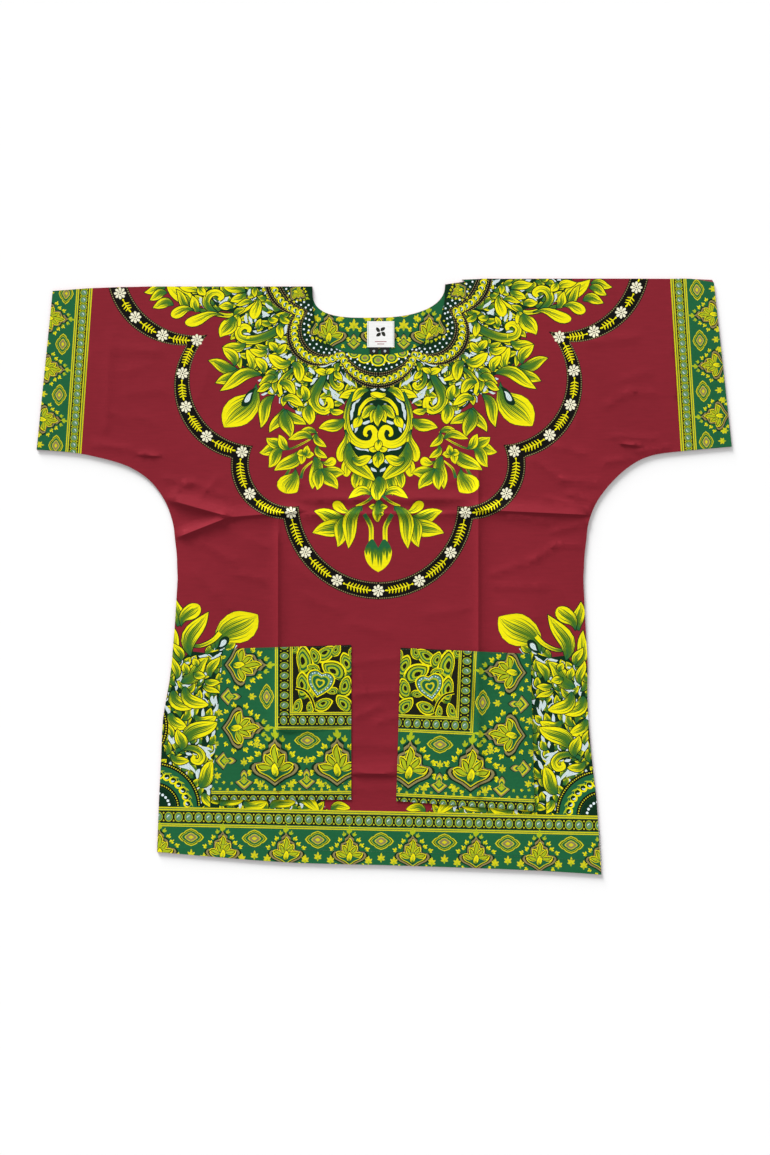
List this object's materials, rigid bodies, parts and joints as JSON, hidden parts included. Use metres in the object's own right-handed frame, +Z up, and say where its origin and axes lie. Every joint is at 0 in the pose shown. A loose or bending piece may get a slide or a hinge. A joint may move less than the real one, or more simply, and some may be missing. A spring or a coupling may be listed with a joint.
{
  "type": "dashiki shirt",
  "caption": "Short-sleeved dashiki shirt laid flat, with a rounded scoop neck, wide sleeves cut in one with the body and patch pockets over a bordered hem.",
  "frame": {"origin": "on the surface the shirt lies on, under the middle of its outline", "axes": "+X across from the wearer's right cuff to the left cuff as seen from above, +Y from the hem to the neck, +Z up out of the front"},
  "size_m": [0.889, 0.762, 0.0091],
  "materials": {
    "shirt_cotton": "maroon printed cotton, slightly lustrous",
    "pocket_cotton": "green border print on cotton, slightly lustrous",
    "label_weave": "white satin-woven label",
    "tab_weave": "black woven tape"
  },
  "bodies": {
    "root": {"back_panel": "shirt_cotton", "front_panel": "shirt_cotton", "pocket_left": "pocket_cotton", "pocket_right": "pocket_cotton", "neck_label": "label_weave", "size_tab_left": "tab_weave", "size_tab_right": "tab_weave"}
  },
  "joints": []
}
